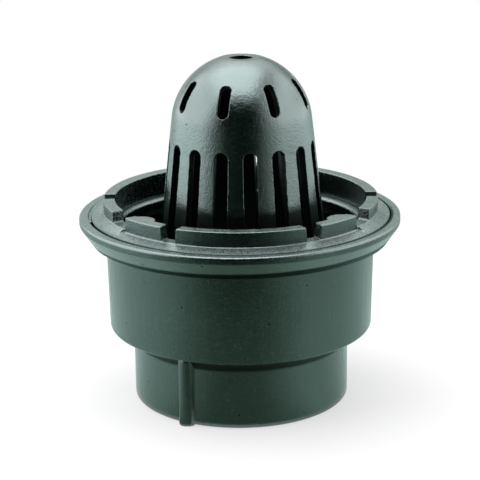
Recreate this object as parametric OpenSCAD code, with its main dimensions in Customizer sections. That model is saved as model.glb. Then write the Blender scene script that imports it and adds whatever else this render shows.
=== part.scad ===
// Flat roof drain: a cast body, a castellated clamp ring and a bullet-shaped dome strainer.
// Millimetres, +Z up. The origin is the centre of the outlet socket's mouth, and the
// drain's front is on the -Y side. Angles are azimuths: 0 is the front, + is towards +X.

/* [Flange] */
// Diameter of the flange
flange_d = 216; // [208:1:230]
// Height of the body, from the mouth of the outlet socket to the top of the flange
body_h = 127.5; // [118:0.5:150]
// Depth of the flange, from its top to its flat underside
flange_t = 16.2; // [14:0.2:20]
// Height of the upright face round the rim
rim_face = 4.6; // [3:0.2:7]
// How far the flange draws in from the rim to the edge of its underside
flange_taper = 7.8; // [5:0.2:10]
// Width of the bare land on top of the flange, outside the clamp ring
land_w = 6.2; // [4.5:0.1:8]
// Radius of the rim's rounded top edge
rim_round = 1.5; // [0.6:0.1:2.4]

/* [Sump drum] */
// Diameter of the drum where it meets the flange
drum_d = 180.8; // [172:0.2:186]
// How much the drum's radius shrinks towards its underside, as casting draft
drum_draft = 1.1; // [0.4:0.1:2]
// Height of the drum's underside above the socket mouth
drum_base = 49.8; // [46:0.2:60]
// Thickness of the drum's wall
drum_wall = 7; // [5:0.5:8]
// Thickness of the sump floor
floor_t = 10.2; // [8:0.2:14]
// Radius of the drum's rounded bottom edge
drum_round = 2.4; // [1:0.2:4]
// Radius of the fillet between the drum and the flange's underside
neck_fillet = 3; // [1.5:0.5:5]
// Diameter of the opening inside the seat's lip
lip_d = 159; // [150:1:162]
// Depth of the lip's upright inner face, below its rounded edge
lip_face = 5; // [3:0.5:8]
// Radius of the lip's rounded edge
lip_round = 2.6; // [1:0.2:3.6]

/* [Outlet hub] */
// Diameter of the hub
hub_d = 146.6; // [142:0.2:152]
// Bore of the outlet socket that takes the pipe
socket_d = 128; // [120:1:130]
// Depth of the outlet socket
socket_depth = 44; // [36:1:46]
// Diameter of the throat between the sump and the socket
throat_d = 102; // [96:1:106]
// Radius of the cove between the hub and the drum
cove_r = 11.2; // [6:0.2:12]
// Radius of the hub's rounded bottom edge
hub_round = 2.2; // [0.6:0.2:3]
// Radius of the half-round rib down the hub
rib_r = 5.6; // [3:0.2:6.6]
// Azimuth of the rib
rib_az = -29.5; // [-60:0.5:60]

/* [Clamp ring] */
// Clearance between the clamp ring and the wall of its recess
ring_gap = 1.1; // [0.9:0.1:1.6]
// How far the loose ring lies off the body's axis, towards +X
ring_shift = 0.7; // [0:0.1:0.8]
// Width of the ring, from its bore to its outer edge
ring_w = 16.4; // [14.5:0.1:18]
// Thickness of the ring at its outer edge
ring_edge_t = 5.6; // [4:0.2:7]
// How much the ring rises from its outer edge to the foot of the wall
ring_rise = 1.8; // [0.8:0.2:3]
// Radius of the ring's rounded outer edge
ring_round = 1.2; // [0.6:0.1:2]
// Thickness of the castellated wall
wall_t = 8; // [6:0.2:9]
// Height of the wall's top above the flange
wall_rise = 11.6; // [9:0.2:16]
// Radius of the wall's rounded top edges
wall_round = 0.6; // [0.5:0.1:2]
// How much the raised step on the sides and back stands above the foot of the wall
step_rise = 1.8; // [0.6:0.2:2.4]
// How far the raised step reaches out from the wall, sloping down to the plate
step_w = 6.4; // [5:0.2:6.6]
// Azimuth at which the raised step ends, on each side of the front
step_end = 55; // [54.4:0.2:57]
// Width of each gap beside the front wall, at its floor
front_gap_w = 9.5; // [6:0.5:12]
// Azimuth of the gaps beside the front wall
front_gap_az = 29.8; // [29:0.2:32]
// Width of each wide gap beyond the bosses
wide_gap_w = 16.4; // [12:0.2:17]
// Azimuth of the wide gaps
wide_gap_az = 59; // [58.6:0.2:61]
// Width of each rear gap, at its floor
rear_gap_w = 10; // [7:0.5:12]
// Azimuth of the rear gaps
rear_gap_az = 89.2; // [88:0.1:93]
// Height of the sill left across each gap
gap_sill = 0.3; // [0.2:0.1:2]
// Lean of the gaps' sides, as casting draft
gap_draft = 6; // [2:0.5:10]
// Radius of the bosses that bulge inwards from the wall
boss_r = 9.8; // [7:0.2:10.4]
// Azimuth of the front bosses
boss_az = 47; // [45.5:0.5:48]
// How far the bosses stand in from the ring's bore
boss_in = 6.4; // [4:0.2:8]
// How far the bosses' tops lie below the top of the wall
boss_drop = 0.4; // [0.3:0.1:2]

/* [Dome strainer] */
// Height of the dome above the sump floor
dome_h = 172.4; // [160:0.4:190]
// Radius of the dome's round crown
dome_r = 47; // [42:0.5:49]
// Taper of the dome's side, which widens towards its foot
dome_taper = 6.5; // [5:0.1:7]
// Thickness of the dome's shell
dome_t = 5.5; // [4:0.5:7]
// Diameter of the flat on top of the crown
crown_flat_d = 28; // [24:1:32]
// Diameter of the hole in the top of the crown
top_hole_d = 15.4; // [10:0.2:18]
// Width of the slots in the crown
crown_slot_w = 7.4; // [5:0.2:10]
// Angle above the level at which the crown slots begin
crown_slot_low = 15.6; // [14:0.2:18]
// Angle above the level at which the crown slots end
crown_slot_high = 43; // [38:0.5:46]
// Width of the long slots in the dome's side
side_slot_w = 9.2; // [6:0.2:10]
// How far below the crown's centre the long slots begin
side_slot_drop = 9; // [5:0.2:12]
// Height of the solid hoop between the dome's foot and the long slots
hoop_h = 12; // [9:0.5:20]
// Number of long slots; the crown has half as many
slot_count = 16; // [12:2:18]
// Azimuth of a slot beside the front
slot_az = -16.3; // [-22:0.1:22]
// Thickness of the dome's foot
foot_t = 6; // [4:0.5:8]
// How far the foot stands out beyond the dome's shell
foot_w = 6; // [3:0.5:6.5]
// Depth of the spigot that drops into the throat
spigot_h = 8; // [4:0.5:12]
// Thickness of the spigot
spigot_t = 3.6; // [2.5:0.2:5]
// Clearance between the spigot and the throat
spigot_gap = 2.4; // [2.2:0.1:3.4]
// How far the loose dome lies off the body's axis, towards +X
dome_shift = 2; // [0:0.1:2]

/* [Hidden] */
$fn = 128;
over = 1;

// Body
flange_r = flange_d / 2;
hub_r = hub_d / 2;
socket_r = socket_d / 2;
throat_r = throat_d / 2;
drum_top_r = drum_d / 2;
drum_low_r = drum_top_r - drum_draft;
under_r = flange_r - flange_taper;
under_z = body_h - flange_t;
seat_z = body_h - ring_edge_t;
recess_r = flange_r - land_w;
lip_r = lip_d / 2;
lip_low_z = seat_z - lip_round - lip_face;
sump_top_r = drum_top_r - drum_wall;
sump_low_r = drum_low_r - drum_wall;
floor_z = drum_base + floor_t;
floor_round = 8;
mouth_chamfer = 1.5;

// Clamp ring, from its own underside
ring_out_r = recess_r - ring_gap;
ring_in_r = ring_out_r - ring_w;
wall_out_r = ring_in_r + wall_t;
wall_foot = ring_edge_t + ring_rise;
wall_top = ring_edge_t + wall_rise;
step_top = wall_foot + step_rise;
front_floor = wall_foot + gap_sill;
side_floor = step_top + gap_sill;
step_sink = 0.3;
boss_place = ring_in_r - boss_in + boss_r;
boss_top = wall_top - boss_drop;
boss_azimuths = [-boss_az, boss_az, 180];

// Dome, from the sump floor
crown_z = dome_h - sqrt(dome_r * dome_r - crown_flat_d * crown_flat_d / 4);
join_angle = dome_taper - 1;
spigot_out_r = throat_r - spigot_gap;
spigot_in_r = spigot_out_r - spigot_t;
function side_r(z, r) = r * cos(join_angle) + (crown_z + r * sin(join_angle) - z) * tan(dome_taper);
foot_r = side_r(foot_t, dome_r) + foot_w;
foot_round = 1.5;

// Turns a child that points along +X towards an azimuth
module at_azimuth(a) {
    rotate([0, 0, a - 90]) children();
}

// A disc in the profile plane, for a rounded edge
module round_at(r, z, radius) {
    translate([r, z]) circle(r = radius, $fn = 48);
}

module body_outline() {
    difference() {
        union() {
            polygon([
                [0, 0], [hub_r - hub_round, 0], [hub_r, hub_round],
                [hub_r, drum_base - cove_r], [hub_r + cove_r, drum_base - cove_r],
                [hub_r + cove_r, drum_base], [drum_low_r - drum_round, drum_base],
                [drum_low_r, drum_base + drum_round], [drum_top_r, under_z - neck_fillet],
                [drum_top_r + neck_fillet, under_z - neck_fillet],
                [drum_top_r + neck_fillet, under_z], [under_r, under_z],
                [flange_r, body_h - rim_face], [flange_r, body_h - rim_round],
                [flange_r - rim_round, body_h], [0, body_h]
            ]);
            round_at(hub_r - hub_round, hub_round, hub_round);
            round_at(drum_low_r - drum_round, drum_base + drum_round, drum_round);
            round_at(flange_r - rim_round, body_h - rim_round, rim_round);
        }
        round_at(hub_r + cove_r, drum_base - cove_r, cove_r);
        round_at(drum_top_r + neck_fillet, under_z - neck_fillet, neck_fillet);
    }
}

module waterway_outline() {
    polygon([
        [0, -over], [socket_r + mouth_chamfer + over, -over], [socket_r, mouth_chamfer],
        [socket_r, socket_depth], [throat_r, socket_depth], [throat_r, floor_z],
        [sump_low_r - floor_round, floor_z], [sump_low_r, floor_z + floor_round],
        [sump_top_r, lip_low_z - sump_top_r + lip_r], [lip_r, lip_low_z],
        [lip_r, seat_z - lip_round], [lip_r + lip_round, seat_z - lip_round],
        [lip_r + lip_round, seat_z], [recess_r, seat_z],
        [recess_r, body_h + over], [0, body_h + over]
    ]);
    round_at(sump_low_r - floor_round, floor_z + floor_round, floor_round);
}

// The half-round rib, which runs up the hub and dies into the cove
module hub_rib() {
    rib_top = drum_base - cove_r / 2;
    at_azimuth(rib_az) translate([hub_r - 0.6, 0, 0]) rotate_extrude() {
        square([rib_r, rib_top]);
        intersection() {
            round_at(0, rib_top, rib_r);
            translate([0, rib_top]) square(rib_r);
        }
    }
}

// One casting: flange with the recess for the clamp ring, sump, throat and hub
module drain_body() {
    color("#26332f") {
        rotate_extrude() {
            difference() {
                body_outline();
                waterway_outline();
            }
            round_at(lip_r + lip_round, seat_z - lip_round, lip_round);
        }
        hub_rib();
    }
}

module ring_outline() {
    polygon([
        [ring_in_r, 0], [ring_out_r, 0], [ring_out_r, ring_edge_t - ring_round],
        [ring_out_r - ring_round, ring_edge_t], [wall_out_r, wall_foot],
        [wall_out_r, wall_top - wall_round], [wall_out_r - wall_round, wall_top],
        [ring_in_r + wall_round, wall_top], [ring_in_r, wall_top - wall_round]
    ]);
    round_at(ring_out_r - ring_round, ring_edge_t - ring_round, ring_round);
    round_at(wall_out_r - wall_round, wall_top - wall_round, wall_round);
    round_at(ring_in_r + wall_round, wall_top - wall_round, wall_round);
}

// The raised step outside the wall, from one end round the back to the other
module raised_step() {
    out_r = wall_out_r + step_w;
    plate_z = wall_foot - step_w * ring_rise / (ring_out_r - ring_round - wall_out_r);
    at_azimuth(step_end) rotate_extrude(angle = 360 - 2 * step_end) polygon([
        [wall_out_r - over, over], [out_r, over], [out_r, plate_z - step_sink],
        [wall_out_r, step_top], [wall_out_r - over, step_top]
    ]);
}

// A boss whose outer half stays inside the wall
module boss() {
    translate([boss_place, 0, 0]) rotate_extrude() {
        square([boss_r - wall_round, boss_top]);
        square([boss_r, boss_top - wall_round]);
        round_at(boss_r - wall_round, boss_top - wall_round, wall_round);
    }
}

// A gap through the wall, wider at its top
module wall_gap(az, width, floor_h) {
    depth = wall_top + over - floor_h;
    lean = depth * tan(gap_draft);
    at_azimuth(az) translate([ring_in_r - 2 * boss_in, 0, floor_h]) rotate([90, 0, 90])
        linear_extrude(wall_t + 3 * boss_in) polygon([
            [-width / 2, 0], [width / 2, 0],
            [width / 2 + lean, depth], [-width / 2 - lean, depth]
        ]);
}

// One casting: flat ring with a castellated wall, three bosses and a raised step
module clamp_ring() {
    color("#2b3935") translate([ring_shift, 0, seat_z]) difference() {
        union() {
            rotate_extrude() ring_outline();
            raised_step();
            intersection() {
                for (az = boss_azimuths) at_azimuth(az) boss();
                cylinder(r = wall_out_r - wall_t / 3, h = wall_top);
            }
        }
        for (side = [-1, 1]) {
            wall_gap(side * front_gap_az, front_gap_w, front_floor);
            wall_gap(side * wide_gap_az, wide_gap_w, side_floor);
            wall_gap(side * rear_gap_az, rear_gap_w, side_floor);
        }
    }
}

// Half outline of a closed bullet shape whose crown has radius r, from its base up to its top
module bullet_outline(r, base, top) {
    join_z = crown_z + r * sin(join_angle);
    difference() {
        union() {
            translate([0, crown_z]) circle(r = r);
            polygon([[0, base], [side_r(base, r), base], [side_r(join_z, r), join_z], [0, join_z]]);
        }
        translate([-2 * r, 0]) square([2 * r, dome_h + r]);
        translate([-r, top]) square([3 * r, r]);
    }
}

module dome_outline() {
    difference() {
        union() {
            bullet_outline(dome_r, foot_t / 2, dome_h);
            polygon([
                [0, 0], [foot_r, 0], [foot_r, foot_t - foot_round],
                [foot_r - foot_round, foot_t], [0, foot_t]
            ]);
            round_at(foot_r - foot_round, foot_t - foot_round, foot_round);
            translate([spigot_in_r, -spigot_h]) square([spigot_t, spigot_h + over]);
        }
        bullet_outline(dome_r - dome_t, foot_t, dome_h + dome_r);
        translate([0, -spigot_h - over]) square([spigot_in_r, spigot_h + foot_t + 2 * over]);
        square([top_hole_d / 2, dome_h + over]);
    }
}

// A slot with round ends, from height 0 up, cut through along +X
module slot(width, length, reach) {
    rotate([90, 0, 90]) linear_extrude(reach) {
        translate([-width / 2, width / 2]) square([width, length - width]);
        translate([0, width / 2]) circle(d = width, $fn = 48);
        translate([0, length - width / 2]) circle(d = width, $fn = 48);
    }
}

// One casting: bullet dome with long slots in its side and short ones round its crown
module dome_strainer() {
    side_slot_h = crown_z - side_slot_drop - hoop_h;
    crown_slot_h = 2 * dome_r * sin((crown_slot_high - crown_slot_low) / 2);
    crown_mid = (crown_slot_high + crown_slot_low) / 2;
    color("#26332f") translate([dome_shift, 0, floor_z]) difference() {
        rotate_extrude() dome_outline();
        for (i = [0 : slot_count - 1]) at_azimuth(slot_az + i * 360 / slot_count)
            translate([dome_r / 2, 0, hoop_h]) slot(side_slot_w, side_slot_h, dome_r);
        for (i = [0 : slot_count / 2 - 1]) at_azimuth(slot_az + i * 720 / slot_count)
            translate([0, 0, crown_z]) rotate([0, -crown_mid, 0])
                translate([dome_r / 2, 0, -crown_slot_h / 2])
                    slot(crown_slot_w, crown_slot_h, dome_r);
    }
}

drain_body();
clamp_ring();
dome_strainer();
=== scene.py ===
import math

import bmesh
import bpy
import numpy as np
from bpy.props import FloatProperty, FloatVectorProperty, PointerProperty
from mathutils import Matrix, Vector


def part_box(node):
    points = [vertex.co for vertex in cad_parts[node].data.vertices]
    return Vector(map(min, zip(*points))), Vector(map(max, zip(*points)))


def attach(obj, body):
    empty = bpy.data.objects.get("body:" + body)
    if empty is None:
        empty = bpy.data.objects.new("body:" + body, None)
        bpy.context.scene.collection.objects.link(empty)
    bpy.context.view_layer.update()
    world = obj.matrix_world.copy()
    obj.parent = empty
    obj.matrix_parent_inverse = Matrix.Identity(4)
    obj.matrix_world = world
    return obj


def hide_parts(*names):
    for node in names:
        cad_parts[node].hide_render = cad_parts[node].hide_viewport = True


bl_info = {
    "name": "Cast-Iron Roof Drain",
    "version": (1, 0, 0),
    "blender": (4, 5, 0),
    "location": "View3D > Sidebar > Roof Drain",
    "description": "Gives the castings of a flat roof drain their rounded edges and their enamel",
    "category": "Object",
}

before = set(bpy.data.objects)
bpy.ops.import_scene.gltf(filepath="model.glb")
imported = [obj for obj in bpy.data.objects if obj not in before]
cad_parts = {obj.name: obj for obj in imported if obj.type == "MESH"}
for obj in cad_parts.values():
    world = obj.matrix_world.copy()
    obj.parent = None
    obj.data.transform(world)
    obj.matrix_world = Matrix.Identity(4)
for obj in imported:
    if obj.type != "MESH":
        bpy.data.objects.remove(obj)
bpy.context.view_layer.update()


# -------------------------------------------------------------------- measures

def direction(azimuth, elevation=0.0):
    """The unit vector towards an azimuth from the front, + towards +X, and an elevation."""
    a, e = math.radians(azimuth), math.radians(elevation)
    return Vector((math.sin(a) * math.cos(e), -math.cos(a) * math.cos(e), math.sin(e)))


def axis_and_radius(node):
    """Where a casting's axis stands along X, and its outer radius."""
    low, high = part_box(node)
    return (low.x + high.x) / 2.0, (high.x - low.x) / 2.0


def top_of(node):
    """The height of a casting's highest point."""
    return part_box(node)[1].z


def placed(name, data):
    """A new object of the scene that shows this data."""
    thing = bpy.data.objects.new(name, data)
    bpy.context.scene.collection.objects.link(thing)
    return thing


# ---------------------------------------------------------------- shader maths

class Socket:
    """A shader socket whose arithmetic adds Math nodes to its tree."""

    def __init__(self, paint, link):
        self.paint = paint
        self.link = link

    def _math(self, operation, first, second, clamp=False):
        return self.paint.node(
            "ShaderNodeMath", {"operation": operation, "use_clamp": clamp}, {0: first, 1: second})

    def __add__(self, other):
        return self._math("ADD", self, other)

    def __radd__(self, other):
        return self._math("ADD", other, self)

    def __sub__(self, other):
        return self._math("SUBTRACT", self, other)

    def __rsub__(self, other):
        return self._math("SUBTRACT", other, self)

    def __mul__(self, other):
        return self._math("MULTIPLY", self, other)

    def __rmul__(self, other):
        return self._math("MULTIPLY", other, self)

    def __truediv__(self, other):
        return self._math("DIVIDE", self, other)

    def __rtruediv__(self, other):
        return self._math("DIVIDE", other, self)

    def maximum(self, other):
        """The larger of the two."""
        return self._math("MAXIMUM", self, other)

    def clamped(self):
        """The same, held between 0 and 1."""
        return self._math("ADD", self, 0.0, clamp=True)

    def ramp(self, low, high, kind="SMOOTHSTEP"):
        """0 at low and below, 1 at high and above, and smooth or LINEAR between."""
        return self.paint.node(
            "ShaderNodeMapRange", {"interpolation_type": kind},
            {"Value": self, "From Min": low, "From Max": high})


class Paint:
    """A material or a world whose nodes are written as expressions."""

    def __init__(self, owner):
        owner.use_nodes = True
        self.owner = owner
        self.tree = owner.node_tree
        self.tree.nodes.clear()

    def node(self, kind, settings=None, values=None, output=0):
        """Adds a node: its settings first, then its sockets' values or links."""
        made = self.tree.nodes.new(kind)
        for key, value in (settings or {}).items():
            setattr(made, key, value)
        for key, value in (values or {}).items():
            if isinstance(value, Socket):
                self.tree.links.new(value.link, made.inputs[key])
            else:
                made.inputs[key].default_value = value
        return Socket(self, made.outputs[output] if made.outputs else None)

    def position(self):
        """The place on the surface, in metres."""
        return self.node("ShaderNodeTexCoord", output="Object")

    def noise(self, place, size, detail, roughness=0.5):
        """Noise between 0 and 1 whose lumps are about size metres across."""
        return self.node("ShaderNodeTexNoise", {}, {
            "Vector": place, "Scale": 1.0 / size, "Detail": detail, "Roughness": roughness})

    def part(self, vector, axis):
        """One component of a vector."""
        return self.node("ShaderNodeSeparateXYZ", {}, {0: vector}, output=axis)

    def vector(self, operation, first, second=(0.0, 0.0, 0.0)):
        """Vector Math on two vectors, which gives a number where the operation does."""
        gives = "Value" if operation in {"DOT_PRODUCT", "LENGTH"} else "Vector"
        return self.node("ShaderNodeVectorMath", {"operation": operation}, {0: first, 1: second},
                         output=gives)

    def mix(self, amount, first, second):
        """A colour from first at amount 0 to second at amount 1."""
        return self.node("ShaderNodeMix", {"data_type": "RGBA"}, {0: amount, 6: first, 7: second},
                         output=2)

    def surface(self, shader, kind="ShaderNodeOutputMaterial"):
        """Makes a shader the surface, and returns the material or world."""
        self.node(kind, {}, {"Surface": shader})
        return self.owner


def rgba(colour):
    """A setting's colour with full opacity."""
    return (colour[0], colour[1], colour[2], 1.0)


# -------------------------------------------------------------------- settings

class EnamelSettings(bpy.types.PropertyGroup):
    """The green-black enamel over the sand-cast iron"""

    colour: FloatVectorProperty(
        name="Enamel", description="Colour of the enamel where it lies thick",
        subtype="COLOR", size=3, min=0.0, max=1.0, default=(0.0003, 0.0029, 0.0016))
    thin_colour: FloatVectorProperty(
        name="Thin enamel", description="Colour of the enamel where it is worn, on edges",
        subtype="COLOR", size=3, min=0.0, max=1.0, default=(0.020, 0.040, 0.034))
    sheen_colour: FloatVectorProperty(
        name="Sheen", description="Tint of what the enamel mirrors", subtype="COLOR", size=3,
        min=0.0, max=1.0, default=(0.80, 1.0, 0.98))
    index: FloatProperty(
        name="Index", description="Index of refraction, which sets how strongly it mirrors",
        min=1.0, max=4.0, default=2.28)
    roughness: FloatProperty(
        name="Roughness", description="Roughness of the enamel", min=0.05, max=1.0,
        default=0.14, subtype="FACTOR")
    speck_colour: FloatVectorProperty(
        name="Specks", description="Colour of the pale specks where the enamel is thin",
        subtype="COLOR", size=3, min=0.0, max=1.0, default=(0.030, 0.047, 0.041))
    specks: FloatProperty(
        name="Speck size", description="Size of the pale specks where the enamel is thin",
        min=0.0002, max=0.01, default=0.0012, precision=5, unit="LENGTH")
    # Painted shade: corners and hollow places narrower than this are darkened in the colour, for
    # their shade.
    hollows: FloatProperty(
        name="Hollows", description="How wide a hollow or corner is that stays dark",
        min=0.001, max=0.05, default=0.012, precision=4, unit="LENGTH")
    # Painted light: the flange's underside is made paler, standing in for the light it mirrors.
    under_light_colour: FloatVectorProperty(
        name="Under light", description="Colour of the painted light under the flange",
        subtype="COLOR", size=3, min=0.0, max=1.0, default=(0.025, 0.042, 0.036))
    dust_colour: FloatVectorProperty(
        name="Dust", description="Colour of the dull film on faces that look up",
        subtype="COLOR", size=3, min=0.0, max=1.0, default=(0.085, 0.112, 0.106))
    grain: FloatProperty(
        name="Grain size", description="Size of the sand grain that shows through the enamel",
        min=0.0002, max=0.01, default=0.0013, unit="LENGTH", precision=5)
    grain_depth: FloatProperty(
        name="Grain depth", description="Depth of the sand grain",
        min=0.0, max=0.001, default=0.00022, unit="LENGTH", precision=6)
    pits: FloatProperty(
        name="Pit spacing", description="Spacing of the small, dark casting pits",
        min=0.002, max=0.1, default=0.011, unit="LENGTH", precision=4)


class CastingSettings(bpy.types.PropertyGroup):
    """How fine the castings' skins are, and the joint round the clamp ring"""

    body_step: FloatProperty(
        name="Body step", description="Fineness of the body's surface, which rounds its edges",
        min=0.0005, max=0.004, default=0.00065, unit="LENGTH", precision=5)
    ring_step: FloatProperty(
        name="Ring step", description="Fineness of the clamp ring's surface",
        min=0.0004, max=0.004, default=0.0005, unit="LENGTH", precision=5)
    dome_step: FloatProperty(
        name="Dome step", description="Fineness of the dome's surface",
        min=0.0004, max=0.004, default=0.0006, unit="LENGTH", precision=5)
    joint_gap: FloatProperty(
        name="Joint gap", description="Mean width of the joint round the clamp ring",
        min=0.0005, max=0.004, default=0.0011, unit="LENGTH", precision=4)
    joint_from: FloatProperty(
        name="Joint closed from", description="Azimuth from which enamel closes the joint",
        subtype="ANGLE", min=-6.3, max=6.3, default=math.radians(104))
    joint_to: FloatProperty(
        name="Joint closed to", description="Azimuth up to which enamel closes the joint",
        subtype="ANGLE", min=-6.3, max=6.3, default=math.radians(280))
    waviness: FloatProperty(
        name="Waviness", description="Depth of the shallow waves that sand moulding leaves",
        min=0.0, max=0.001, default=0.00012, unit="LENGTH", precision=5)


class StageSettings(bpy.types.PropertyGroup):
    """The floor, the lamps and the camera"""

    floor_colour: FloatVectorProperty(
        name="Floor", description="Colour of the floor", subtype="COLOR", size=3,
        min=0.0, max=1.0, default=(0.92, 0.92, 0.92))
    side_level: FloatProperty(
        name="Side softboxes", description="Brightness of the side softboxes, where 1 is white",
        min=0.0, max=10.0, default=1.5)
    top_level: FloatProperty(
        name="Top softbox", description="Brightness of the top softbox, where 1 is white",
        min=0.0, max=10.0, default=2.3)
    back_level: FloatProperty(
        name="Back softbox", description="Brightness of the back softbox, where 1 is white",
        min=0.0, max=10.0, default=0.7)
    fill: FloatProperty(
        name="Fill", description="Level of the soft light from all round, where 1 is white",
        min=0.0, max=2.0, default=0.2)
    camera_lens: FloatProperty(
        name="Lens", description="Focal length in millimetres on a 36 mm sensor",
        min=20.0, max=400.0, default=121.75, unit="CAMERA")
    camera_place: FloatVectorProperty(
        name="Camera", description="Place of the camera", subtype="TRANSLATION", size=3,
        unit="LENGTH", default=(0.0, -1.0558, 0.4193))
    camera_pitch: FloatProperty(
        name="Pitch", description="How far the camera looks down", subtype="ANGLE",
        min=-1.6, max=1.6, default=math.radians(16.468))
    camera_roll: FloatProperty(
        name="Roll", description="How far the camera leans", subtype="ANGLE",
        min=-1.6, max=1.6, default=math.radians(-0.583))


# -------------------------------------------------------------------- finishes

# Lengths are in metres. A pair is a ramp: where a mask starts to rise, and where it is full.
SEED_SHIFT = (0.37, 0.11, 0.23)     # how far each seed moves a casting's patterns
CLOUD_SIZE = 0.030                  # broad, faint patches
MOTTLE_SIZE = 0.0045                # small patches
SHARP_EDGE = (0.53, 0.62)           # pointiness, which is 0.5 on a flat face
SPECK_RIM = (0.60, 0.76)
PIT_RIM = (0.035, 0.075)            # share of the pits' spacing
# Places open to less of the sky than this are painted dark, as painted shade.
OPEN_PLACE = (0.36, 0.76)           # share of the sky that a hollow leaves open
HOLLOW_RAYS = 6
CLEAR_OF_FLOOR = (0.008, 0.020)     # heights below which the floor makes no hollow
LOOKS_UP = (0.62, 0.95)
LOOKS_DOWN = (0.3, 0.5)
FLANGE_UNDERSIDE = (0.098, 0.104)
# Share of the painted light under the flange.
UNDER_LIGHT_SHARE = 0.8
# Darkening of the casting pits, and of painted shade in corners, the joint, the cove and the dome.
PIT_AND_SHADE_SHARE = 0.92
PIT_AND_SHADE_COLOUR = (0.001, 0.003, 0.002, 1.0)
# The joint round the clamp ring, darkened for dirt and for painted shade on the side that opens to
# the front.
JOINT_MIDDLE = 0.0006               # from the ring's rim to the middle of its joint
JOINT_SIDE = (0.0009, 0.0020)
JOINT_OPEN_TOWARDS = 12.0           # azimuth in degrees
# The cove under the drum, darkened as painted shade.
COVE_FOOT = (0.035, 0.040)
COVE_HEAD = (0.0490, 0.0505)
COVE_SHADE_SHARE = 0.85
# Painted shade on the dome's inside and on its foot down in the ring.
DOME_HEART_DROP = 0.004             # below the ring's top
DOME_FOOT = (0.005, 0.012)          # above the dome's heart
DOME_FOOT_WANDER = 0.006


class Spot:
    """What a finish knows of a place on a casting, as sockets."""

    def __init__(self, paint, look, seed):
        self.here = paint.position()
        self.normal = paint.node("ShaderNodeNewGeometry", output="Normal")
        self.upward = paint.part(self.normal, "Z")
        self.height = paint.part(self.here, "Z")
        self.pattern = paint.vector("ADD", self.here, tuple(seed * shift for shift in SEED_SHIFT))
        self.clouds = paint.noise(self.pattern, CLOUD_SIZE, 3.0)
        self.mottle = paint.noise(self.pattern, MOTTLE_SIZE, 3.0, 0.6)
        self.grain = paint.noise(self.pattern, look.grain, 3.0, 0.65)


def enamel(name, look, seed, dust, grime=None, specked=1.0):
    """Semi-gloss green-black enamel over a fine sand-cast skin, dulled where it looks up.

    Dust and specked are the strengths of the film and of the pale specks. The shade function
    of the paint and a spot gives 1 where painted shade darkens the colour, with some dirt in the
    joint.
    """
    paint = Paint(bpy.data.materials.new(name))
    spot = Spot(paint, look, seed)
    clouds, mottle, grain = spot.clouds, spot.mottle, spot.grain
    edges = paint.node("ShaderNodeNewGeometry", output="Pointiness").ramp(*SHARP_EDGE)
    specks = paint.noise(spot.pattern, look.specks, 1.0).ramp(*SPECK_RIM)

    # Pits are dark. Corners and hollow places are painted dark as their shade, and so are the
    # places the shade function gives.
    pits = paint.node("ShaderNodeTexVoronoi", {"feature": "F1"},
                      {"Vector": spot.pattern, "Scale": 1.0 / look.pits}, output="Distance")
    opened = paint.node("ShaderNodeAmbientOcclusion", {"samples": HOLLOW_RAYS},
                        {"Distance": look.hollows}, output="AO")
    opened = opened.maximum(1.0 - spot.height.ramp(*CLEAR_OF_FLOOR))
    dark = (1.0 - pits.ramp(*PIT_RIM)).maximum(1.0 - (opened + grain * 0.3).ramp(*OPEN_PLACE))
    if grime is not None:
        dark = dark.maximum(grime(paint, spot))
    dark = dark * PIT_AND_SHADE_SHARE

    # The coat is thin on edges and in patches, where it is paler.
    thin = (edges * 0.35 + clouds.ramp(0.45, 0.75) * 0.12 + mottle.ramp(0.55, 0.8) * 0.10).clamped()
    colour = paint.mix(thin, rgba(look.colour), rgba(look.thin_colour))
    colour = paint.mix(specks * specked, colour, rgba(look.speck_colour))

    # The dull film lies on faces that look up, and most on the grain's tops.
    film = (spot.upward.ramp(*LOOKS_UP) * dust
            * (0.34 + mottle.ramp(0.35, 0.7) * 0.2 + grain.ramp(0.35, 0.65) * 0.38)).clamped()
    colour = paint.mix(film, colour, rgba(look.dust_colour))
    # Painted light: faces that look down at the flange's height are made paler, for the light they
    # mirror.
    under = ((0.0 - spot.upward).ramp(*LOOKS_DOWN) * spot.height.ramp(*FLANGE_UNDERSIDE)
             * UNDER_LIGHT_SHARE)
    colour = paint.mix(under, colour, rgba(look.under_light_colour))
    # Painted shade in corners, hollow places, the cove, the joint and the dome darkens the colour
    # here, together with the casting pits.
    colour = paint.mix(dark, colour, PIT_AND_SHADE_COLOUR)

    rough = (look.roughness + (mottle - 0.5) * 0.10 + (clouds - 0.5) * 0.06 + specks * 0.10
             + dark * 0.3 + film * 0.22)
    bump = paint.node("ShaderNodeBump", {}, {
        "Strength": 1.0, "Distance": look.grain_depth, "Height": grain + mottle * 0.2})
    shader = paint.node("ShaderNodeBsdfPrincipled", {}, {
        "Base Color": colour, "Roughness": rough.clamped(), "Metallic": dark.clamped(),
        "IOR": look.index, "Specular Tint": rgba(look.sheen_colour), "Normal": bump})
    return paint.surface(shader)


def joint_dirt_and_shade(paint, spot):
    """Dirt and painted shade in the open part of the joint between the clamp ring and the flange.
    """
    shift, edge = axis_and_radius("clamp_ring")
    middle = edge + JOINT_MIDDLE
    out = paint.vector("SUBTRACT", spot.here, (shift, 0.0, 0.0))
    out = paint.vector("MULTIPLY", out, (1.0, 1.0, 0.0))
    reach = paint.vector("LENGTH", out)
    way = direction(JOINT_OPEN_TOWARDS)
    ahead = paint.vector("DOT_PRODUCT", out, (way.x, way.y, 0.0)) / reach
    off = (reach - middle).maximum(middle - reach)
    return (1.0 - off.ramp(*JOINT_SIDE)) * ahead.ramp(-0.05, 0.25)


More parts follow.
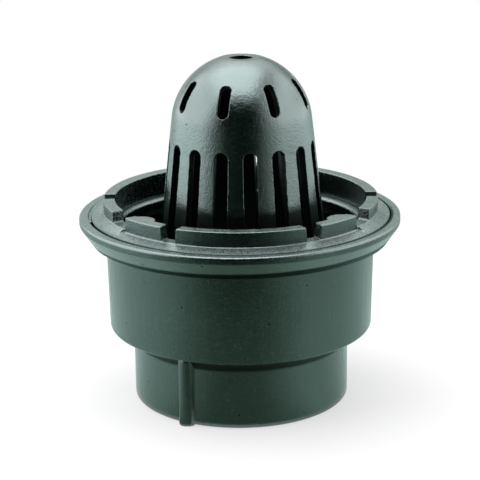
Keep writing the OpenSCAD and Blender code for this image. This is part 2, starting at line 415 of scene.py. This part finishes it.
def body_shade_and_dirt(paint, spot):
    """The joint's dirt and painted shade, and painted shade in the cove under the drum."""
    cove = (spot.height.ramp(*COVE_FOOT) * (1.0 - spot.height.ramp(*COVE_HEAD))
            * (0.0 - spot.upward).ramp(0.02, 0.20))
    return joint_dirt_and_shade(paint, spot).maximum(cove * COVE_SHADE_SHARE)


def dome_painted_shade(paint, spot):
    """Painted shade on the dome's inside and on its foot in the ring."""
    heart = Vector((axis_and_radius("dome_strainer")[0], 0.0,
                    top_of("clamp_ring") - DOME_HEART_DROP))
    out = paint.vector("NORMALIZE", paint.vector("SUBTRACT", spot.here, tuple(heart)))
    facing = paint.vector("DOT_PRODUCT", out, spot.normal)
    foot = (spot.height + spot.mottle * DOME_FOOT_WANDER).ramp(
        *(heart.z + rise for rise in DOME_FOOT))
    return (1.0 - facing.ramp(0.0, 0.45)).maximum(1.0 - foot)


# -------------------------------------------------------------------- castings

TRIANGLES = 185000                  # the most that a casting's skin keeps
WELD = 1e-6                         # corners this near to each other are one
CUT_REACH = 1e-7                    # how near the cutting plane a corner lies on it
BLAST_PASSES = 2
FULL_PULL = 0.4                     # share of a voxel within which the profile takes a corner
AT_ONCE = 4000                      # corners that are worked out together
LEAST_SQUARE = 1e-14                # keeps a line's squared length off zero
LEAST_REACH = 1e-9                  # keeps a corner on the axis off zero
SAND_WAVES = ((0.034, 0.55), (0.013, 0.3), (0.006, 0.15))      # lengths and shares
WAVES_EACH = 7


def vectors_of(mesh, key):
    """The vertices' places or normals, as an array with a row for each vertex."""
    values = np.empty(len(mesh.vertices) * 3)
    mesh.vertices.foreach_get(key, values)
    return values.reshape(-1, 3)


def move_vertices(mesh, places):
    """Puts the vertices where an array's rows say."""
    mesh.vertices.foreach_set("co", places.ravel())
    mesh.update()


def evaluated_mesh(thing):
    """A new mesh of an object as its modifiers leave it."""
    bpy.context.view_layer.update()
    return bpy.data.meshes.new_from_object(
        thing.evaluated_get(bpy.context.evaluated_depsgraph_get()))


def skin_of(node, name, step):
    """A copy of a casting's solid whose sharp edges are worn round, as one fine mesh."""
    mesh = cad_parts[node].data.copy()
    mesh.materials.clear()
    shape = bmesh.new()
    shape.from_mesh(mesh)
    bmesh.ops.remove_doubles(shape, verts=shape.verts, dist=WELD)
    shape.to_mesh(mesh)
    shape.free()
    rough = placed(name + "_rough", mesh)
    remesh = rough.modifiers.new("Skin", "REMESH")
    remesh.mode = "VOXEL"
    remesh.voxel_size = step
    remesh.adaptivity = 0.0
    smooth = rough.modifiers.new("Blast", "SMOOTH")
    smooth.factor = 0.5
    smooth.iterations = BLAST_PASSES
    thin = rough.modifiers.new("Thin", "DECIMATE")
    thin.show_viewport = False
    count = 2 * len(evaluated_mesh(rough).polygons)
    thin.show_viewport = True
    thin.ratio = min(1.0, TRIANGLES / count)
    skin = evaluated_mesh(rough)
    skin.name = name
    bpy.data.objects.remove(rough)
    return placed(name, skin)


def profile(node, azimuth):
    """A casting's axis, and its solid's lines on a half-plane through it, as (radius, height)."""
    axis = Vector((axis_and_radius(node)[0], 0.0, 0.0))
    way = direction(azimuth)
    shape = bmesh.new()
    shape.from_mesh(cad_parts[node].data)
    cut = bmesh.ops.bisect_plane(
        shape, geom=[*shape.verts, *shape.edges, *shape.faces], dist=CUT_REACH,
        plane_co=axis, plane_no=way.cross(Vector((0.0, 0.0, 1.0))))
    lines = [[((v.co - axis).dot(way), v.co.z) for v in edge.verts]
             for edge in cut["geom_cut"] if isinstance(edge, bmesh.types.BMEdge)]
    shape.free()
    return axis.x, np.array([line for line in lines if min(line[0][0], line[1][0]) >= 0.0])


def turned(piece, node, azimuths, near, far):
    """Draws a casting's skin onto its turned profile, which takes off the solid's flat facets.

    A corner within near of the profile goes all the way to it, and one beyond far stays.
    """
    cuts = [profile(node, azimuth) for azimuth in azimuths]
    axis = cuts[0][0]
    lines = np.concatenate([cut[1] for cut in cuts])
    start, run = lines[:, 0], lines[:, 1] - lines[:, 0]
    length = np.maximum((run * run).sum(axis=1), LEAST_SQUARE)
    places = vectors_of(piece.data, "co")
    for part in np.array_split(np.arange(len(places)), max(1, len(places) // AT_ONCE)):
        x, y = places[part, 0] - axis, places[part, 1]
        reach = np.maximum(np.hypot(x, y), LEAST_REACH)
        here = np.stack([reach, places[part, 2]], axis=1)[:, None]
        along = np.clip(((here - start) * run).sum(axis=2) / length, 0.0, 1.0)
        there = start + along[..., None] * run
        gap = np.linalg.norm(there - here, axis=2)
        best = gap.argmin(axis=1)
        rows = np.arange(len(part))
        pull = np.clip((far - gap[rows, best]) / (far - near), 0.0, 1.0)[:, None]
        place = here[:, 0] + (there[rows, best] - here[:, 0]) * pull
        places[part, 0] = axis + x * place[:, 0] / reach
        places[part, 1] = y * place[:, 0] / reach
        places[part, 2] = place[:, 1]
    move_vertices(piece.data, places)


def wave(piece, depth, seed):
    """Sinks a casting's skin a little, unevenly, as a sand mould does."""
    places, normals = vectors_of(piece.data, "co"), vectors_of(piece.data, "normal")
    rng = np.random.default_rng(seed)
    total = np.zeros(len(places))
    for size, share in SAND_WAVES:
        waves = rng.normal(size=(WAVES_EACH, 3))
        waves *= (2.0 * math.pi / size) / np.linalg.norm(waves, axis=1)[:, None]
        phases = rng.uniform(0.0, 2.0 * math.pi, WAVES_EACH)
        total += share * np.sin(places @ waves.T + phases).mean(axis=1)
    places -= normals * (depth * (0.5 + np.clip(total, -0.5, 0.5)))[:, None]
    move_vertices(piece.data, places)


def casting(scene, node, step, azimuths, seed, dust=1.0, **finish):
    """The finished casting that stands for a CAD node, cut at the azimuths for its profile."""
    name = node + "_casting"
    piece = skin_of(node, name, step)
    turned(piece, node, azimuths, step * FULL_PULL, step)
    wave(piece, scene.drain_casting.waviness, seed)
    piece.data.polygons.foreach_set("use_smooth", [True] * len(piece.data.polygons))
    piece.data.materials.append(enamel(name + "_enamel", scene.drain_enamel, seed, dust, **finish))
    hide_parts(node)
    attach(piece, "root")
    return piece


# The bead of enamel in the closed joint.
BEAD_STEPS, BEAD_SIDES = 160, 12
BEAD_ENDS = 7.0                     # each end narrows over a seventh of the length
BEAD_OVERLAP = 0.0016               # how far it reaches into each casting
BEAD_HALF_HEIGHT = 0.0009
BEAD_SUNK = 0.0001                  # from the flange's top down to the bead's
BEAD_END_DIP = 0.0016


def bead(settings):
    """The mesh of the bead, which follows the joint's width and sinks out of sight at its ends."""
    shift, edge = axis_and_radius("clamp_ring")
    top = top_of("drain_body")
    first, last = settings.joint_from, settings.joint_to
    shape = bmesh.new()
    grid = []
    for i in range(BEAD_STEPS + 1):
        way = direction(math.degrees(first + (last - first) * i / BEAD_STEPS))
        swell = min(1.0, BEAD_ENDS * min(i, BEAD_STEPS - i) / BEAD_STEPS) ** 0.7
        half = (settings.joint_gap - shift * way.x) / 2.0
        middle = edge + shift * way.x + half
        wide = half + BEAD_OVERLAP * swell
        tall = BEAD_HALF_HEIGHT * max(swell, 0.05)
        low_by = BEAD_SUNK + tall + (1.0 - swell) * BEAD_END_DIP
        grid.append([
            shape.verts.new(way * (middle + wide * math.cos(turn))
                            + Vector((0.0, 0.0, top - low_by + tall * math.sin(turn))))
            for turn in (2.0 * math.pi * k / BEAD_SIDES for k in range(BEAD_SIDES))])
    for here, there in zip(grid, grid[1:]):
        for k in range(BEAD_SIDES):
            shape.faces.new((here[k], here[k - 1], there[k - 1], there[k]))
    shape.faces.new(grid[0])
    shape.faces.new(grid[-1][::-1])
    bmesh.ops.recalc_face_normals(shape, faces=shape.faces)
    for face in shape.faces:
        face.smooth = True
    mesh = bpy.data.meshes.new("closed_joint")
    shape.to_mesh(mesh)
    shape.free()
    return mesh


class DRAIN_OT_body(bpy.types.Operator):
    """Makes the flanged drum and its outlet hub"""

    bl_idname = "drain.body"
    bl_label = "Drain body"

    def execute(self, context):
        piece = casting(context.scene, "drain_body", context.scene.drain_casting.body_step,
                        (90,), seed=3, grime=body_shade_and_dirt)
        return {"FINISHED"}


class DRAIN_OT_ring(bpy.types.Operator):
    """Makes the castellated clamp ring"""

    bl_idname = "drain.ring"
    bl_label = "Clamp ring"

    def execute(self, context):
        piece = casting(context.scene, "clamp_ring", context.scene.drain_casting.ring_step,
                        (0, 75), seed=5, grime=joint_dirt_and_shade, specked=0.5)
        return {"FINISHED"}


class DRAIN_OT_bridge(bpy.types.Operator):
    """Makes the enamel that has closed the joint round the clamp ring's back and left"""

    bl_idname = "drain.bridge"
    bl_label = "Closed joint"

    def execute(self, context):
        mesh = bead(context.scene.drain_casting)
        mesh.materials.append(
            enamel("closed_joint_enamel", context.scene.drain_enamel, seed=6, dust=1.0))
        piece = placed("closed_joint", mesh)
        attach(piece, "root")
        return {"FINISHED"}


class DRAIN_OT_dome(bpy.types.Operator):
    """Makes the slotted dome strainer"""

    bl_idname = "drain.dome"
    bl_label = "Dome strainer"

    def execute(self, context):
        piece = casting(context.scene, "dome_strainer", context.scene.drain_casting.dome_step,
                        (0,), seed=8, dust=0.35, grime=dome_painted_shade, specked=0.4)
        return {"FINISHED"}


# ----------------------------------------------------------------------- stage

AIM = (0.0, 0.0, 0.12)              # the middle of the drain
LAMP_POWER = 4.0                    # watts for each square metre of a face at level 1
WHITE = (1.0, 1.0, 1.0, 1.0)
DIM_CARD = (0.62, 1.0, 0.72, 1.0)
LIGHT_CARD = (0.82, 1.0, 0.98, 1.0)
FRONT_LEVEL = 0.021
CARD_RADIUS = 2.6
CARD_STEP = 5.0                     # degrees
TABLE_HOLE = 0.076                  # the hub stands in it
TABLE_HEIGHT = 0.0015
FLOOR_REACH = 14.0
FLOOR_SEEN_WHITE = 0.55             # near the drain, where its shadow shows
FLOOR_CLEAR = (0.16, 0.55)          # from the shadow out to plain white
SENSOR_WIDTH = 36.0                 # millimetres
CLIP_START, CLIP_END = 0.02, 60.0


def softbox(name, azimuth, elevation, distance, size, level):
    """A rectangular softbox whose face has the brightness level, where 1 is white."""
    lamp = bpy.data.lights.new(name, "AREA")
    lamp.shape = "RECTANGLE"
    lamp.size, lamp.size_y = size
    lamp.energy = LAMP_POWER * level * size[0] * size[1]
    box = placed(name, lamp)
    box.location = Vector(AIM) + direction(azimuth, elevation) * distance
    box.rotation_mode = "QUATERNION"
    box.rotation_quaternion = (Vector(AIM) - box.location).to_track_quat("-Z", "Y")
    box.visible_camera = False


def card(name, first, last, rows, tone):
    """A card that only reflections see, swept between two azimuths through (radius, height) rows.

    The tone is its level, where 1 is white, or a function of the paint that gives it.
    """
    steps = max(3, int(abs(last - first) / CARD_STEP))
    shape = bmesh.new()
    grid = []
    for i in range(steps + 1):
        way = direction(first + (last - first) * i / steps)
        grid.append([shape.verts.new((way.x * r, way.y * r, z)) for r, z in rows])
    for here, there in zip(grid, grid[1:]):
        for j in range(len(rows) - 1):
            shape.faces.new((here[j], here[j + 1], there[j + 1], there[j]))
    mesh = bpy.data.meshes.new(name)
    shape.to_mesh(mesh)
    shape.free()
    paint = Paint(bpy.data.materials.new(name))
    if callable(tone):
        level = tone(paint)
        colour = paint.mix(level, DIM_CARD, LIGHT_CARD)
    else:
        level = tone
        colour = [dim + (light - dim) * level for dim, light in zip(DIM_CARD, LIGHT_CARD)]
    mesh.materials.append(paint.surface(
        paint.node("ShaderNodeEmission", {}, {"Color": colour, "Strength": level})))
    sheet = placed(name, mesh)
    sheet.visible_camera = False
    sheet.visible_diffuse = False
    sheet.visible_shadow = False
    sheet.visible_transmission = False


def plan(paint):
    """A place's distance from the axis, and a function of how far it lies towards an azimuth."""
    place = paint.position()
    x, y = paint.part(place, "X"), paint.part(place, "Y")
    reach = paint.node("ShaderNodeMath", {"operation": "SQRT"}, {0: x * x + y * y})

    def towards(azimuth):
        """1 at the azimuth, falling to -1 on the far side."""
        way = direction(azimuth)
        return (x * way.x + y * way.y) / reach

    return reach, towards


def table_tone(paint):
    """Dark in front, light at the sides, greyer behind, and lightest far out to left and right."""
    reach, towards = plan(paint)
    near = 0.19 - reach.ramp(0.26, 0.52) * 0.18
    far = 0.88 + reach.ramp(0.45, 0.90) * (0.30 + towards(-98).ramp(0.74, 0.96) * 0.90
                                            + towards(128).ramp(0.80, 0.97) * 0.45)
    return near + far * ((1.0 - towards(-2).ramp(0.61, 0.98, "LINEAR")) * 0.50
                         + (1.0 - towards(9).ramp(-0.5, 0.5, "LINEAR")) * 0.35
                         - towards(172).ramp(0.75, 1.0, "LINEAR") * 0.40)


def back_tone(paint):
    """Grey, and lighter behind and on the left."""
    towards = plan(paint)[1]
    return 0.44 + towards(195).ramp(0.92, 0.995) * 0.26 + towards(-90).ramp(0.0, 0.5) * 0.12


def seen(paint):
    """1 for rays from the camera, from glossy reflections and through glass, otherwise 0."""
    camera, glossy, through = (
        paint.node("ShaderNodeLightPath", output=key)
        for key in ("Is Camera Ray", "Is Glossy Ray", "Is Transmission Ray"))
    return camera.maximum(glossy).maximum(through)


class DRAIN_OT_stage(bpy.types.Operator):
    """Makes the floor, the softboxes, the cards and the camera"""

    bl_idname = "drain.stage"
    bl_label = "Stage"

    def execute(self, context):
        look = context.scene.drain_stage
        self.floor(look)
        self.world(look)
        softbox("softbox_left", azimuth=-98, elevation=20, distance=1.7, size=(2.95, 2.0),
                level=look.side_level)
        softbox("softbox_right", azimuth=98, elevation=20, distance=1.7, size=(2.8, 2.0),
                level=look.side_level * 0.75)
        softbox("softbox_top", azimuth=-95, elevation=82, distance=1.8, size=(2.2, 2.0),
                level=look.top_level)
        softbox("softbox_back", azimuth=180, elevation=46, distance=2.4, size=(2.2, 1.2),
                level=look.back_level)
        card("front_card", -43, 37, ((CARD_RADIUS, 0.0), (CARD_RADIUS, 3.3)), FRONT_LEVEL)
        card("back_card", 110, 250, ((CARD_RADIUS, 0.45), (CARD_RADIUS, 1.3)), back_tone)
        card("table_card", -180, 180, ((TABLE_HOLE, TABLE_HEIGHT), (CARD_RADIUS, TABLE_HEIGHT)),
             table_tone)
        self.camera(look)
        return {"FINISHED"}

    def floor(self, look):
        """A matte floor that is seen white, but for the drain's shadow."""
        mesh = bpy.data.meshes.new("floor")
        reach = FLOOR_REACH
        mesh.from_pydata(
            [(-reach, -reach, 0), (reach, -reach, 0), (reach, reach, 0), (-reach, reach, 0)],
            [], [(0, 1, 2, 3)])
        paint = Paint(bpy.data.materials.new("floor_white"))
        away = paint.vector("LENGTH", paint.position())
        white = paint.node("ShaderNodeEmission", {}, {"Color": WHITE, "Strength": 1.0})
        matte = paint.node("ShaderNodeBsdfDiffuse", {}, {"Color": rgba(look.floor_colour)})
        share = seen(paint) * (
            FLOOR_SEEN_WHITE + away.ramp(*FLOOR_CLEAR) * (1.0 - FLOOR_SEEN_WHITE))
        mesh.materials.append(paint.surface(
            paint.node("ShaderNodeMixShader", {}, {0: share, 1: matte, 2: white})))
        placed("floor", mesh)

    def world(self, look):
        """White where it is seen, and a low, even light on the drain."""
        world = bpy.data.worlds.new("studio")
        bpy.context.scene.world = world
        paint = Paint(world)
        level = seen(paint) * (1.0 - look.fill) + look.fill
        shell = paint.node("ShaderNodeBackground", {}, {"Color": WHITE, "Strength": level})
        paint.surface(shell, "ShaderNodeOutputWorld")

    def camera(self, look):
        """The camera, pitched and rolled about its own place."""
        camera = bpy.data.cameras.new("camera")
        camera.lens = look.camera_lens
        camera.sensor_width = SENSOR_WIDTH
        camera.clip_start, camera.clip_end = CLIP_START, CLIP_END
        forward = Vector((0.0, math.cos(look.camera_pitch), -math.sin(look.camera_pitch)))
        right = Vector((1.0, 0.0, 0.0))
        up = right.cross(forward)
        c, s = math.cos(look.camera_roll), math.sin(look.camera_roll)
        right, up = right * c + up * s, up * c - right * s
        turn = Matrix((right, up, -forward)).transposed()
        eye = placed("camera", camera)
        eye.matrix_world = Matrix.Translation(look.camera_place) @ turn.to_4x4()
        bpy.context.scene.camera = eye


class DRAIN_PT_sidebar(bpy.types.Panel):
    """Lists the drain's pieces and their settings"""

    bl_idname = "DRAIN_PT_sidebar"
    bl_label = "Roof Drain"
    bl_space_type = "VIEW_3D"
    bl_region_type = "UI"
    bl_category = "Roof Drain"

    def draw(self, context):
        """Draws a button for each operator and a box for each group of settings."""
        layout = self.layout
        for operator in OPERATORS:
            layout.operator(operator.bl_idname)
        for group in GROUPS:
            settings = getattr(context.scene, group)
            box = layout.box()
            for key in settings.bl_rna.properties.keys():
                if key not in {"rna_type", "name"}:
                    box.prop(settings, key)


GROUPS = {
    "drain_enamel": EnamelSettings, "drain_casting": CastingSettings, "drain_stage": StageSettings,
}
OPERATORS = (DRAIN_OT_body, DRAIN_OT_ring, DRAIN_OT_bridge, DRAIN_OT_dome, DRAIN_OT_stage)
CLASSES = (*GROUPS.values(), *OPERATORS, DRAIN_PT_sidebar)


def register():
    """Makes the classes and the scene's settings known."""
    for cls in CLASSES:
        bpy.utils.register_class(cls)
    for name, group in GROUPS.items():
        setattr(bpy.types.Scene, name, PointerProperty(type=group))


def unregister():
    """Takes the settings and the classes away again."""
    for name in GROUPS:
        delattr(bpy.types.Scene, name)
    for cls in reversed(CLASSES):
        bpy.utils.unregister_class(cls)


def main():
    """Builds the drain and its stage."""
    register()
    bpy.context.scene.view_settings.view_transform = "Standard"
    bpy.ops.drain.body()
    bpy.ops.drain.ring()
    bpy.ops.drain.bridge()
    bpy.ops.drain.dome()
    bpy.ops.drain.stage()


if __name__ == "__main__":
    main()
